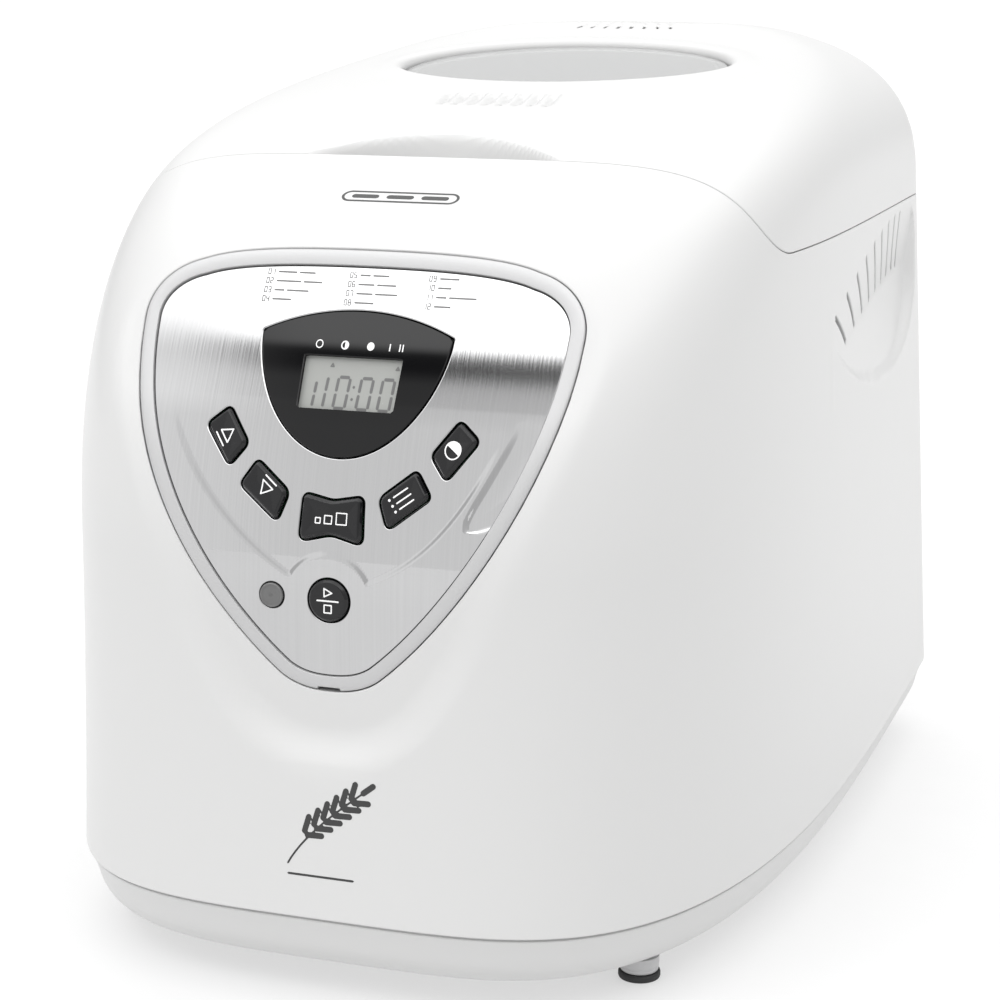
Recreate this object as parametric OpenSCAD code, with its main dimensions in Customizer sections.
// Bread machine: moulded housing with a domed lid, oven chamber, lift-out pan and belt drive.
// Frame: origin on the floor under the middle of the base, front towards -Y, +Z up, millimetres.

/* [Body] */
// Width of the body at the seam above the base tray
body_w = 266; // [262:1:274]
// Depth of the body at the same seam
body_d = 364; // [362:1:370]
// Height of the highest point of the lid
body_h = 297; // [294:1:302]
// Thickness of the moulded walls
wall = 2.5; // [2:0.1:2.8]
// Height of the seam between the base tray and the housing
seam_z = 30; // [29:0.5:31]
// Height of the seam between the housing and the lid at the sides
lid_seam_z = 228.5; // [228:0.5:229.5]

/* [Oven] */
// Inside width of the bread pan
pan_w = 130; // [122:1:132]
// Inside length of the bread pan
pan_l = 160; // [150:1:162]
// Height of the pan's rim
pan_top_z = 206; // [196:1:207]
// Distance of the oven's axis behind the middle of the base
oven_y = 62; // [61:0.5:63]

/* [Drive] */
// Radius of the motor's pulley
motor_pulley_r = 9; // [8:0.5:10]
// Radius of the large pulley under the oven
large_pulley_r = 54; // [50:1:56]

/* [Panel] */
// Half of the panel's width at its widest place
panel_half_w = 73.5; // [72:0.5:75]
// Height of the panel's top edge
panel_top_z = 233.4; // [232:0.2:234]
// Height of the panel's lower tip
panel_tip_z = 101.3; // [100:0.5:103]
// How far a button travels when it is pressed
button_travel = 1; // [0.6:0.1:1.2]

/* [Hidden] */
$fn = 48;
fit = 0.05;
gap = 0.3;
side_steps = 48;

// ---------- Outer surface of the body ----------

front_y = -body_d / 2;
back_y = body_d / 2;
knee = [front_y + 9, 142];
crown = [156, body_h];
side_draft = 0.0559;
crown_half_w = 20;
crown_back_y = 165;
widest_from_back = 31;
back_exponent = 4.9;

function sign_of(v) = v < 0 ? -1 : 1;
function signed_power(v, e) = sign_of(v) * pow(abs(v), e);
function bezier(p, t) =
    pow(1 - t, 3) * p[0] + 3 * pow(1 - t, 2) * t * p[1] + 3 * (1 - t) * t * t * p[2] + pow(t, 3) * p[3];
function rounded_off(z, from_z, e) = pow(1 - pow(max(0, min(1, (z - from_z) / (body_h - from_z))), e), 1 / e);

// Centre line of the front and top, as [y, z], from the seam (0) through the knee (1) to the crown (2)
lower_front = [[front_y, seam_z], [front_y + 5, 67], [knee[0] - 1, 104], knee];
upper_front = [knee, [knee[0] + 5.6, 289], [-0.6, body_h - 30], crown];
function centre_line(t) = t < 1 ? bezier(lower_front, t) : bezier(upper_front, t - 1);
function centre_slope(t) = let (d = centre_line(t + 0.01) - centre_line(t - 0.01)) d / norm(d);

function half_width(z) =
    let (w = body_w / 2 - side_draft * (z - seam_z))
    crown_half_w + (w - crown_half_w) * rounded_off(z, 237, 2.58);
function back_reach(z) = crown_back_y + (back_y - crown_back_y) * rounded_off(z, 276, 2.2);
function front_exponent(z) = 3.85 + 1.42 * (z - seam_z) / (body_h - seam_z);

function outline(front, back, half, e) =
    let (mid = back - min(widest_from_back, (back - front) / 2))
    [for (i = [0:side_steps - 1])
        let (
            a = 360 * (i + 0.5) / side_steps,
            p = sin(a) < 0 ? e : back_exponent,
            reach = sin(a) < 0 ? mid - front : back - mid
        )
        [half * signed_power(cos(a), 2 / p), mid + reach * signed_power(sin(a), 2 / p)]];

// Outline of the body at the centre line's parameter t, inset by d, as a ring of points
function body_ring(t, d) =
    let (
        c = centre_line(t),
        s = centre_slope(min(t, 1.98)),
        front = c[0] + d * s[1],
        z = c[1] - d * s[0],
        flat = outline(front, max(back_reach(c[1]) - d, front + 2), half_width(c[1]) - d, front_exponent(c[1]))
    )
    [for (p = flat) [p[0], p[1], z]];

function flat_ring(z, d) =
    [for (p = outline(front_y + d, back_y - d, body_w / 2 - d, 3.85)) [p[0], p[1], z]];

module skin(rings) {
    n = side_steps;
    last = len(rings) - 1;
    polyhedron(
        [for (r = rings) each r],
        concat(
            [[for (i = [0:n - 1]) i]],
            [for (k = [0:last - 1], i = [0:n - 1])
                [k * n + i, (k + 1) * n + i, (k + 1) * n + (i + 1) % n, k * n + (i + 1) % n]],
            [[for (i = [n - 1:-1:0]) last * n + i]]
        ),
        convexity = 4
    );
}

lower_steps = [0, 0.5, 1];
upper_steps = [for (i = [1:15]) 1 + i / 15];
module body_solid(d, below) {
    skin(concat(
        [flat_ring(seam_z - below, d)],
        [for (t = concat(lower_steps, upper_steps)) body_ring(t, d)]
    ));
}
module body_shell() {
    difference() {
        body_solid(0, 0.5);
        body_solid(wall, 5);
    }
}

// ---------- Shared helpers ----------

// Rounded rectangle made of straight sides and true arcs
module round_rect(w, l, r) {
    square([w - 2 * r, l], center = true);
    square([w, l - 2 * r], center = true);
    for (x = [-1, 1], y = [-1, 1]) translate([x * (w / 2 - r), y * (l / 2 - r)]) circle(r);
}
module round_ring(w, l, r, t) {
    difference() {
        round_rect(w, l, r);
        round_rect(w - 2 * t, l - 2 * t, r - t);
    }
}
module slab(z, h) translate([0, 0, z]) linear_extrude(h) children();
module at_oven(z, h) translate([0, oven_y, z]) linear_extrude(h) children();
// Extrudes an (x, z) drawing along Y
module along_y(y0, y1) translate([0, y1, 0]) rotate([90, 0, 0]) linear_extrude(y1 - y0) children();
// Extrudes a (y, z) drawing along X
module along_x(x0, x1) translate([x0, 0, 0]) rotate([90, 0, 90]) linear_extrude(x1 - x0) children();
module tube(r, bore, h) {
    difference() {
        cylinder(r = r, h = h);
        translate([0, 0, -1]) cylinder(r = bore, h = h + 2);
    }
}
function ellipse(a, b, n = 48) = [for (i = [0:n - 1]) [a * cos(360 * i / n), b * sin(360 * i / n)]];
module both_sides() {
    children();
    mirror([1, 0, 0]) children();
}

// ---------- Base ----------

tray_floor_z = 8;
foot_x = 88.5;
foot_y = [-126, 132];
post_places = [[80, -112], [84, 138]];
plate_z = 31;
plate_t = 1.5;

module base_tray() color("whitesmoke") {
    outer = [[tray_floor_z, 11], [tray_floor_z + 2, 7.5], [tray_floor_z + 7, 5], [seam_z - 0.5, 0.6]];
    difference() {
        skin([for (s = outer) flat_ring(s[0], s[1])]);
        skin([for (s = outer) flat_ring(s[0] + (s[0] < seam_z - 1 ? wall : 1), s[1] + wall)]);
    }
    difference() {
        skin([flat_ring(seam_z - 4, 3), flat_ring(seam_z + 5, 3)]);
        skin([flat_ring(seam_z - 5, 5), flat_ring(seam_z + 6, 5)]);
    }
    for (p = post_places, x = [-1, 1])
        translate([x * p[0], p[1], tray_floor_z + 2]) cylinder(r = 5, h = plate_z - tray_floor_z - 2);
}
module at_feet() for (x = [-1, 1], y = foot_y) translate([x * foot_x, y, 0]) children();
module feet() color("gray") at_feet() translate([0, 0, 2.5]) cylinder(r = 6.5, h = tray_floor_z - 2.5);
module foot_pads() color("black") at_feet() cylinder(r = 6.9, h = 2.5);
module chassis_plate() color("silver") {
    difference() {
        slab(plate_z, plate_t) translate([0, 17]) round_rect(190, 294, 14);
        translate([0, oven_y, plate_z - 1]) cylinder(r = bearing_r + 0.2, h = 4);
        translate([motor_x, motor_y, plate_z - 1]) cylinder(r = 12, h = 4);
    }
}

// ---------- Housing ----------

grip = [71, 198];
grip_size = [79, 28];
grip_floor_x = 110;
fan_centre = [71, 150];
slit_count = 11;
cover_half_w = 74;
cover_z = [48, 190];

module lid_region(shift) {
    r = 28;
    y0 = -80 + shift;
    z0 = lid_seam_z + shift;
    along_x(-200, 200) {
        difference() {
            translate([y0, z0]) square([400, 200]);
            translate([y0 - 1, z0 - 1]) square([r + 1, r + 1]);
        }
        translate([y0 + r, z0 + r]) circle(r);
    }
}
module grip_oval(x0, x1, d) along_x(x0, x1) translate(grip) polygon(ellipse(grip_size[0] - d, grip_size[1] - d));
module grip_slits() {
    for (i = [0:slit_count - 1]) {
        a = -52 + 104 * i / (slit_count - 1);
        translate([grip_floor_x - 1, fan_centre[0], fan_centre[1]]) rotate([-a, 0, 0])
            translate([0, -1.6, 46 + 8 * abs(sin(a))]) cube([4, 3.2, 20 - 4 * abs(sin(a))]);
    }
}
module grip_cup() {
    difference() {
        intersection() {
            grip_oval(grip_floor_x, 140, -1.5);
            body_solid(wall / 2, 5);
        }
        grip_oval(grip_floor_x + 2, 145, 0.5);
        grip_slits();
    }
}
module body_housing() color("white") {
    difference() {
        body_shell();
        lid_region(-0.3);
        translate([-200, 160, lid_seam_z - 2.5]) cube([400, 40, 50]);
        along_y(-200, -100) polygon(shield(0.3));
        both_sides() grip_oval(grip_floor_x - 2, 145, 0);
        translate([-cover_half_w, 170, cover_z[0]]) cube([2 * cover_half_w, 20, cover_z[1] - cover_z[0]]);
    }
    both_sides() grip_cup();
}
module rear_cover() color("white") {
    y = back_y - 4.5;
    difference() {
        union() {
            translate([-cover_half_w + gap, y, cover_z[0] + gap])
                cube([2 * cover_half_w - 2 * gap, 2, cover_z[1] - cover_z[0] - 2 * gap]);
            translate([-cover_half_w - 4, y - 2.5, cover_z[0] - 4])
                cube([2 * cover_half_w + 8, 2.5, cover_z[1] - cover_z[0] + 8]);
        }
        for (k = [0:7], x = [-36, 36])
            translate([x - 24, y - 5, 110 + 8 * k]) cube([48, 10, 3]);
        translate([-48, y - 5, 66]) rotate([-90, 0, 0]) cylinder(r = 7, h = 10);
    }
}
module cord_gland() color("dimgray") {
    translate([-48, back_y - 9, 66]) rotate([-90, 0, 0]) {
        difference() {
            union() {
                cylinder(r = 6.9, h = 8.8);
                translate([0, 0, 6.6]) cylinder(r = 9, h = 2.2);
                cylinder(r = 9, h = 1.9);
            }
            translate([0, 0, -1]) cylinder(r = 3.6, h = 12);
        }
    }
}

// ---------- Lid ----------

window_y = 66;
window_z = 284.5;
window_size = [64, 46];
window_tilt = 9;
hinge = [175.2, 236.5];
hinge_r = 2;
hinge_x = 70;
liner_z = 233;
liner_t = 1.2;
scoop_size = [40, 21];

module at_window() translate([0, window_y, window_z]) rotate([window_tilt, 0, 0]) children();
module window_oval(d, z, h)
    at_window() translate([0, 0, z]) linear_extrude(h) polygon(ellipse(window_size[0] + d, window_size[1] + d));
module lid_scoop_oval(d) translate([0, -80, 230])
    linear_extrude(80) polygon(ellipse(scoop_size[0] + d, scoop_size[1] + d));
module vent_row(y, z, tilt) {
    for (i = [-3.5:1:3.5])
        translate([i * 5, y, z]) rotate([tilt, 0, 0]) cube([1.8, 16, 16], center = true);
}
module lid_shell() color("white") {
    difference() {
        intersection() {
            body_shell();
            lid_region(0.3);
        }
        window_oval(1, -15, 40);
        lid_scoop_oval(0);
        vent_row(-8, 276, 12);
        vent_row(146, 294, 6);
        for (x = [-hinge_x, hinge_x]) translate([x - 12, 168, 220]) cube([24, 30, 24]);
    }
    difference() {
        intersection() {
            body_solid(0, 0);
            lid_region(0.3);
            lid_scoop_oval(wall);
        }
        difference() {
            lid_scoop_oval(0);
            translate([-60, -110, 240]) cube([120, 90, 14.5]);
        }
        translate([-60, -110, 200]) cube([120, 90, 52]);
    }
    difference() {
        window_oval(5, -4, 6.5);
        window_oval(0, -10, 20);
    }
}
module lid_window() color("gainsboro", 0.5) window_oval(-0.5, -1, 3);
module window_gasket() color("lightgray") {
    difference() {
        window_oval(-0.6, -4, 3);
        window_oval(-6, -20, 40);
    }
}
module lid_liner() color("silver") {
    difference() {
        union() {
            slab(liner_z, liner_t) translate([0, 52]) round_rect(206, 236, 40);
            intersection() {
                slab(liner_z, 60) translate([0, window_y]) polygon(ellipse(60, 45));
                window_oval(40, -80, 75.8);
            }
        }
        slab(liner_z - 1, 62) translate([0, window_y]) polygon(ellipse(59, 44));
    }
}
module at_hinge(x) translate([x, hinge[0], hinge[1]]) rotate([0, 90, 0]) children();
module hinge_arms() color("silver") {
    for (x = [-hinge_x, hinge_x]) {
        difference() {
            union() {
                at_hinge(x - 5.5) cylinder(r = 3.6, h = 11);
                translate([x - 5.5, 140, liner_z + liner_t]) cube([11, 34, 2]);
            }
            at_hinge(x - 10) cylinder(r = hinge_r + fit, h = 20);
        }
    }
}
module hinge_brackets() color("silver") {
    for (x = [-hinge_x, hinge_x]) {
        difference() {
            union() {
                for (s = [-1, 1]) translate([x + s * 8 - 1.8, hinge[0] - 3.7, deck_z + deck_t])
                    cube([3.6, 7.4, hinge[1] + 3.5 - deck_z - deck_t]);
                translate([x - 11, hinge[0] - 6, deck_z + deck_t]) cube([22, 9.7, 1.5]);
            }
            at_hinge(x - 15) cylinder(r = hinge_r, h = 30);
        }
    }
}
module hinge_pins() color("silver") for (x = [-hinge_x, hinge_x]) at_hinge(x - 10.5) cylinder(r = hinge_r, h = 21);

// ---------- Oven ----------

chamber_w = 196;
chamber_l = 200;
chamber_z = 58;
chamber_top = 227;
chamber_t = 1;
deck_z = 224;
deck_t = 2;
deck_front = -128;
element_z = 84;
element_r = 3.2;
element_half = [82, 90];
bend_r = 20;
lead_x = 12;

module oven_chamber() color("lightgray") {
    difference() {
        union() {
            at_oven(chamber_z, chamber_top - chamber_z) round_rect(chamber_w + 2, chamber_l + 2, 31);
            at_oven(chamber_top - 1, 1) round_rect(chamber_w + 14, chamber_l + 12, 36);
        }
        at_oven(chamber_z + chamber_t, 200) round_rect(chamber_w, chamber_l, 30);
        translate([0, oven_y, chamber_z - 1]) cylinder(r = 6, h = 4);
        for (x = [-lead_x, lead_x]) translate([x, oven_y + 90, element_z]) rotate([-90, 0, 0]) cylinder(r = 5, h = 20);
        translate([-110, oven_y, 120]) rotate([0, 90, 0]) cylinder(r = 3.1, h = 20);
    }
}
module chamber_deck() color("whitesmoke") {
    difference() {
        union() {
            difference() {
                translate([0, 0, deck_z]) linear_extrude(deck_t)
                    polygon(outline(deck_front, back_y - 3.4, half_width(deck_z) - 3.4, 4.9));
                translate([-200, -200, deck_z - 1]) cube([400, 126, deck_t + 2]);
            }
            intersection() {
                translate([-104, -74, deck_z]) cube([208, 2, 27]);
                body_solid(6, 0);
            }
        }
        at_oven(deck_z - 1, deck_t + 2) round_rect(chamber_w + 2.4, chamber_l + 2.4, 31.2);
        both_sides() grip_oval(grip_floor_x - 1, 145, -2);
    }
}
module chamber_spacers() color("silver") {
    for (x = [-78, 78], y = [-12, 126])
        translate([x, y, plate_z + plate_t]) cylinder(r = 4, h = chamber_z - plate_z - plate_t);
}
module heat_shield() color("silver") translate([-98, -56, plate_z + plate_t]) cube([196, 0.8, 170]);

// A quarter bend of the heating tube about [x, y], starting at angle a
module bend(x, y, a, r) translate([x, y, 0]) rotate([0, 0, a])
    rotate_extrude(angle = 90) translate([r, 0]) circle(element_r);
module straight(from, dir, length) translate([from[0], from[1], 0]) rotate([0, 0, dir]) rotate([0, 90, 0])
    cylinder(r = element_r, h = length);
module heating_element() color("dimgray") translate([0, oven_y, element_z]) {
    hx = element_half[0];
    hy = element_half[1];
    end_r = 10;
    for (s = [0, 1]) mirror([s, 0, 0]) {
        straight([lead_x, hy + end_r], 90, 10);
        bend(lead_x + end_r, hy + end_r, 180, end_r);
        straight([lead_x + end_r, hy], 0, hx - bend_r - lead_x - end_r);
        bend(hx - bend_r, hy - bend_r, 0, bend_r);
        straight([hx, -hy + bend_r], 90, 2 * (hy - bend_r));
        bend(hx - bend_r, -hy + bend_r, -90, bend_r);
        straight([0, -hy], 0, hx - bend_r);
    }
}
module element_insulators() color("ivory") {
    for (x = [-lead_x, lead_x])
        translate([x, oven_y + chamber_l / 2, element_z]) rotate([-90, 0, 0]) tube(4.9, element_r + fit, 8);
}
module temperature_sensor() color("silver") {
    translate([-106, oven_y, 120]) rotate([0, 90, 0]) {
        cylinder(r = 3, h = 14);
        cylinder(r = 6, h = 8 - chamber_t);
    }
}
module thermal_fuse() color("lightgray") {
    translate([40, oven_y + chamber_l / 2 + chamber_t, 150]) {
        translate([-14, 0, -5]) cube([28, 1, 10]);
        translate([-9, 4, 0]) rotate([0, 90, 0]) cylinder(r = 3, h = 18);
    }
}

// ---------- Bread pan and its drive ----------

pan_floor_z = 76.5;
pan_t = 1.5;
pan_corner = 30;
seal_r = 14;
shaft_r = 4;
skirt_r = 48;
handle_z = pan_top_z - 9;
handle_x = pan_w / 2 + 7;
handle_reach = pan_l / 2 + 8;
handle_r = 1.6;
wing_turn = 40;
wing_z = 63.5;

module bread_pan() color("dimgray") {
    difference() {
        union() {
            at_oven(pan_floor_z, pan_top_z - pan_floor_z) round_rect(pan_w + 2 * pan_t, pan_l + 2 * pan_t, pan_corner + pan_t);
            at_oven(pan_top_z - 3, 3) round_rect(pan_w + 8, pan_l + 8, pan_corner + 4);
        }
        at_oven(pan_floor_z + 1.5, 200) round_rect(pan_w, pan_l, pan_corner);
        translate([0, oven_y, pan_floor_z - 1]) cylinder(r = seal_r, h = 4);
    }
    translate([0, oven_y, 60.3]) tube(skirt_r, skirt_r - 2, pan_floor_z - 60.3);
    both_sides() {
        translate([pan_w / 2 + pan_t - 0.2, oven_y - 8, handle_z - 9]) cube([1.5, 16, 12]);
        translate([pan_w / 2 + pan_t, oven_y, handle_z]) rotate([0, 90, 0]) cylinder(r = 2.4, h = 8.5);
    }
}
module pan_bearing() color("silver") translate([0, oven_y, 68]) tube(seal_r, shaft_r + fit, 13);
module pan_seat() color("silver") translate([0, oven_y, chamber_z + chamber_t]) {
    difference() {
        cylinder(r = skirt_r + 5, h = 6);
        translate([0, 0, 1]) cylinder(r = skirt_r + gap, h = 6);
        translate([0, 0, -1]) cylinder(r = 30, h = 8);
    }
}
module pan_handle() color("silver") translate([0, oven_y, handle_z]) {
    bend_at = handle_reach - bend_r;
    both_sides() {
        translate([handle_x - 2, 0, 0]) rotate([0, 90, 0]) tube(4.5, 2.4 + fit, 4);
        translate([handle_x, 3.2, 0]) rotate([-90, 0, 0]) cylinder(r = handle_r, h = bend_at - 3.2);
        translate([handle_x - bend_r, bend_at, 0])
            rotate_extrude(angle = 90) translate([bend_r, 0]) circle(handle_r);
        translate([0, handle_reach, 0]) rotate([0, 90, 0]) cylinder(r = handle_r, h = handle_x - bend_r);
    }
}
module kneading_paddle() color("dimgray") translate([0, oven_y, 82.5]) {
    difference() {
        union() {
            cylinder(r = 9, h = 24);
            translate([0, -3, 0]) cube([44, 6, 18]);
            translate([34, 0, 0]) cylinder(r = 5, h = 24);
        }
        translate([0, 0, -1]) cylinder(r = shaft_r, h = 18);
    }
}
module pan_shaft() color("silver") translate([0, oven_y, wing_z]) {
    translate([0, 0, 1]) cylinder(r = shaft_r, h = 97 - wing_z);
    cylinder(r = 8, h = 3.5);
    rotate([0, 0, wing_turn]) translate([-16, -2.5, 0.3]) cube([32, 5, 2.8]);
}
module drive_coupler() color("gray") translate([0, oven_y, 60.2]) {
    difference() {
        union() {
            cylinder(r = 17, h = 2.4);
            for (s = [-1, 1]) translate([s * 12 - 3, -3, 0]) cube([6, 6, 6.5]);
        }
        translate([0, 0, -1]) cylinder(r = shaft_r, h = 5);
    }
}
module output_shaft() color("silver") translate([0, oven_y, 12]) cylinder(r = shaft_r, h = 50.4);
bearing_r = 11;
module shaft_bearing() color("goldenrod") translate([0, oven_y, 25.5]) {
    difference() {
        union() {
            cylinder(r = bearing_r, h = chamber_z - 25.5 - 0.5);
            translate([0, 0, plate_z + plate_t - 25.5]) cylinder(r = 19, h = 3);
        }
        translate([0, 0, -1]) cylinder(r = shaft_r + fit, h = 50);
    }
}

// ---------- Belt drive and motor ----------

motor_x = 48;
motor_y = -110;
pulley_z = 13;
pulley_h = 8;
belt_h = 5;
belt_t = 2;
groove = 1.5;
motor_z = 41;
motor_h = 62;

module pulley(r) {
    difference() {
        rotate_extrude() {
            translate([shaft_r, 0]) square([r - groove - shaft_r, pulley_h]);
            translate([shaft_r, 0]) square([r - shaft_r, (pulley_h - belt_h) / 2 - gap]);
            translate([shaft_r, (pulley_h + belt_h) / 2 + gap]) square([r - shaft_r, (pulley_h - belt_h) / 2 - gap]);
        }
        if (r > 30) for (a = [0:60:300]) rotate([0, 0, a]) translate([r * 0.55, 0, -1]) cylinder(r = r * 0.17, h = 20);
    }
}
module large_pulley() color("dimgray") translate([0, oven_y, pulley_z]) pulley(large_pulley_r);
module motor_pulley() color("silver") translate([motor_x, motor_y, pulley_z]) pulley(motor_pulley_r);
module belt_loop(d) hull() {
    translate([0, oven_y]) circle(large_pulley_r - groove + gap + d, $fn = 64);
    translate([motor_x, motor_y]) circle(motor_pulley_r - groove + gap + d, $fn = 32);
}
module drive_belt() color("black") {
    difference() {
        slab(pulley_z + (pulley_h - belt_h) / 2, belt_h) belt_loop(belt_t);
        slab(0, 60) belt_loop(0);
    }
}
module motor() color("silver") translate([motor_x, motor_y, motor_z]) {
    difference() {
        union() {
            cylinder(r = 30, h = motor_h);
            translate([0, 0, 14]) cylinder(r = 37, h = 34);
            cylinder(r = 10, h = motor_h + 4);
        }
        translate([0, 0, -1]) cylinder(r = shaft_r + fit, h = motor_h + 10);
    }
}
module motor_shaft() color("silver") translate([motor_x, motor_y, 12]) cylinder(r = shaft_r, h = 100);
module motor_bracket() color("silver") translate([motor_x, motor_y, 0]) {
    difference() {
        slab(motor_z - 2, 2) round_rect(72, 60, 8);
        cylinder(r = 11, h = 60);
    }
    for (x = [-30, 30], y = [-15, 15]) translate([x, y, plate_z + plate_t]) cylinder(r = 4, h = motor_z - 2 - plate_z - plate_t);
}
module motor_capacitor() color("whitesmoke") translate([-66, -128, plate_z + plate_t]) cube([38, 20, 30]);
module board_bracket() color("silver") {
    translate([-92, -72, plate_z + plate_t]) cube([84, 12, 1.5]);
    translate([-92, -72, plate_z + plate_t]) cube([84, 1.2, 20]);
}
module control_board() color("darkgreen") {
    translate([-92, -73.8, 44]) cube([84, 1.6, 90]);
    for (b = [[-84, 60, 28, 22, 24], [-46, 56, 30, 16, 14], [-80, 96, 16, 18, 22], [-52, 92, 14, 12, 26], [-30, 96, 14, 14, 20]])
        translate([b[0], -73.8 - b[3], b[1]]) cube([b[2], b[3], b[4]]);
}

// ---------- Control panel ----------

panel_y = front_y + 11.5;
panel_bend_z = 125;
panel_bend_r = 138;
panel_lean = 28;
lens_half = 31.7;
lens_top = 209;
light_place = [-19.2, 130.2];
start_place = [0, 130];
start_r = 6.7;
// The pressed keys, each a quadrilateral with its corners as [x, z]
up_key = [[-45.4, 180.7], [-38.4, 186.3], [-30.5, 175.8], [-36.1, 168.7]];
down_key = [[-31.8, 163.5], [-26.5, 171.3], [-15, 162.3], [-18.4, 153.1]];
size_key = [[-9.9, 162.5], [0, 161], [9.9, 162.5], [10.5, 147.8], [0, 149.8], [-10.5, 147.8]];
keys = [up_key, down_key, size_key, mirrored(down_key), mirrored(up_key)];
function mirrored(pts) = [for (p = pts) [-p[0], p[1]]];
function middle(pts) = let (n = len(pts)) [for (k = [0, 1]) [for (p = pts) p[k] / n] * [for (p = pts) 1]];

// Half of a shield outline in units of its half width and height, from the top centre to the tip
shield_curves = [
    [[0, 1], [0.34, 1], [0.62, 0.995], [0.767, 0.967]],
    [[0.767, 0.967], [0.9, 0.95], [1.01, 0.9], [1, 0.823]],
    [[1, 0.823], [0.985, 0.5], [0.52, 0.165], [0.219, 0.032]],
    [[0.219, 0.032], [0.145, 0.004], [0.07, 0], [0, 0]]
];
function shield(d) =
    let (
        half = [for (c = shield_curves, t = [0:0.2:0.9]) bezier(c, t)],
        w = panel_half_w + d,
        h = panel_top_z - panel_tip_z + 2 * d,
        right = [for (p = half) [p[0] * w, panel_tip_z - d + p[1] * h]]
    )
    concat(right, [[0, panel_tip_z - d]], [for (i = [len(right) - 1:-1:1]) [-right[i][0], right[i][1]]]);

// Depth of the panel's surface at height z: upright, then an arc, then a straight lean
function panel_at(z) =
    let (
        arc_top = panel_bend_z + panel_bend_r * sin(panel_lean),
        dz = max(0, min(z, arc_top) - panel_bend_z)
    )
    panel_y + panel_bend_r - sqrt(panel_bend_r * panel_bend_r - dz * dz) + max(0, z - arc_top) * tan(panel_lean);
module panel_slab(front, back) {
    heights = concat([85], [for (k = [0:8]) panel_bend_z + k * 8.1], [245]);
    along_x(-90, 90) polygon(concat(
        [for (z = heights) [panel_at(z) + front, z]],
        [for (i = [len(heights) - 1:-1:0]) [panel_at(heights[i]) + back, heights[i]]]
    ));
}
module on_panel(front, back) intersection() {
    panel_slab(front, back);
    along_y(-190, -100) children();
}
function lens_outline(d) = concat(
    [for (a = [-25:5:25]) [(lens_half + d) * sin(a) / sin(25), lens_top + d + 70 * (cos(a) - cos(25))]],
    [for (a = [-10:-10:-170]) [(lens_half + d) * cos(a), lens_top + (35.6 + d) * signed_power(sin(a), 1.15)]]
);
function wider(pts, d) = let (m = middle(pts)) [for (p = pts) p + (p - m) / norm(p - m) * d];
module key_holes(d) {
    for (k = keys) polygon(wider(k, d));
    translate(start_place) circle(start_r + d);
    translate(light_place) circle(3.9 + d);
    polygon(lens_outline(d));
}
module panel_trim_ring() color("silver") {
    difference() {
        on_panel(-1.8, 5) polygon(shield(0));
        along_y(-200, -90) polygon(shield(-4.6));
        translate([-3.7, -190, panel_tip_z - 2]) cube([7.4, 40, 3]);
    }
}
module faceplate() color("lightgray") {
    difference() {
        on_panel(0, 1.2) polygon(shield(-4.9));
        along_y(-200, -90) key_holes(0.35);
    }
}
module panel_frame() color("dimgray") {
    difference() {
        union() {
            on_panel(1.3, 4) polygon(shield(-5.2));
            for (p = frame_posts) translate([p[0], panel_at(p[1]) + 3, p[1]]) rotate([-90, 0, 0])
                cylinder(r = 3, h = board_front(p[1]) - panel_at(p[1]) - 4.5);
        }
        along_y(-200, -90) key_holes(0.6);
    }
}
module display_lens() color("black") on_panel(-0.6, 2) polygon(lens_outline(0));
module lcd_module() color("darkgray") on_panel(2.2, 7) translate([-19, 184]) square([38, 21]);
module status_light_pipe() color("lightgray") on_panel(-0.8, 6) translate(light_place) circle(3.9);

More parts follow.
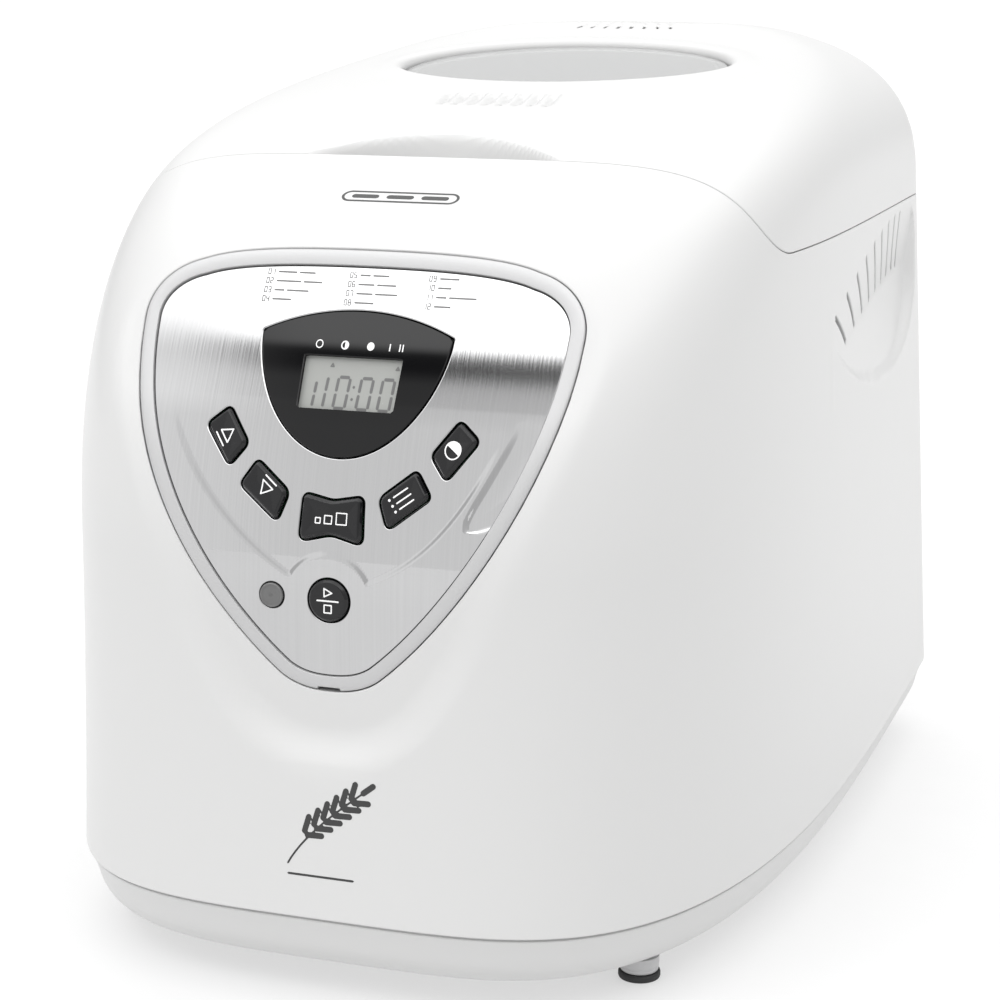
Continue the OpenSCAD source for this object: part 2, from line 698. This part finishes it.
board_lean = 18.2;
board_mid = [-140, 170];
switch_h = 3.5;
frame_posts = [[-52, 205], [52, 205], [-24, 140], [24, 140]];
function board_front(z) = board_mid[0] + (z - board_mid[1]) * tan(board_lean) - 0.8 / cos(board_lean);
module on_board() translate([0, board_mid[0], board_mid[1]]) rotate([-board_lean, 0, 0]) children();
module switch_board() color("darkgreen") on_board() cube([122, 1.6, 104], center = true);
module tact_switches() color("black") {
    for (p = concat([for (k = keys) middle(k)], [start_place]))
        on_board() translate([p[0], -0.8 - switch_h / 2, (p[1] - board_mid[1]) / cos(board_lean)])
            cube([6, switch_h, 6], center = true);
}
module key_stem(p) {
    y0 = panel_at(p[1]) + 4;
    y1 = board_front(p[1]) - switch_h / cos(board_lean) - button_travel - 1.3;
    translate([p[0], y0, p[1]]) rotate([-90, 0, 0]) cylinder(r = 2.2, h = y1 - y0);
}
module key(pts) color("black") {
    on_panel(-1, 5) polygon(pts);
    key_stem(middle(pts));
}
module start_stop_button() color("black") {
    on_panel(-1, 5) translate(start_place) circle(start_r);
    key_stem(start_place);
}

// ---------- Fasteners ----------

module screws() color("silver") {
    for (p = post_places, x = [-1, 1]) translate([x * p[0], p[1], plate_z + plate_t]) cylinder(r = 4, h = 2);
    for (x = [-66, 66], z = [56, 182]) translate([x, back_y - 2.5, z]) rotate([-90, 0, 0]) cylinder(r = 3, h = 1.6);
}

body_housing();
base_tray();
feet();
foot_pads();
rear_cover();
cord_gland();
lid_shell();
lid_window();
window_gasket();
lid_liner();
hinge_arms();
hinge_brackets();
hinge_pins();
chamber_deck();
oven_chamber();
chamber_spacers();
heat_shield();
heating_element();
element_insulators();
bread_pan();
pan_bearing();
pan_seat();
pan_handle();
kneading_paddle();
pan_shaft();
drive_coupler();
output_shaft();
shaft_bearing();
large_pulley();
drive_belt();
motor();
motor_shaft();
motor_pulley();
motor_bracket();
motor_capacitor();
chassis_plate();
control_board();
board_bracket();
temperature_sensor();
thermal_fuse();
panel_trim_ring();
faceplate();
display_lens();
lcd_module();
panel_frame();
switch_board();
tact_switches();
key(up_key);  // time_up_button
key(down_key);  // time_down_button
key(size_key);  // loaf_size_button
key(mirrored(down_key));  // options_button
key(mirrored(up_key));  // crust_colour_button
start_stop_button();
status_light_pipe();
screws();
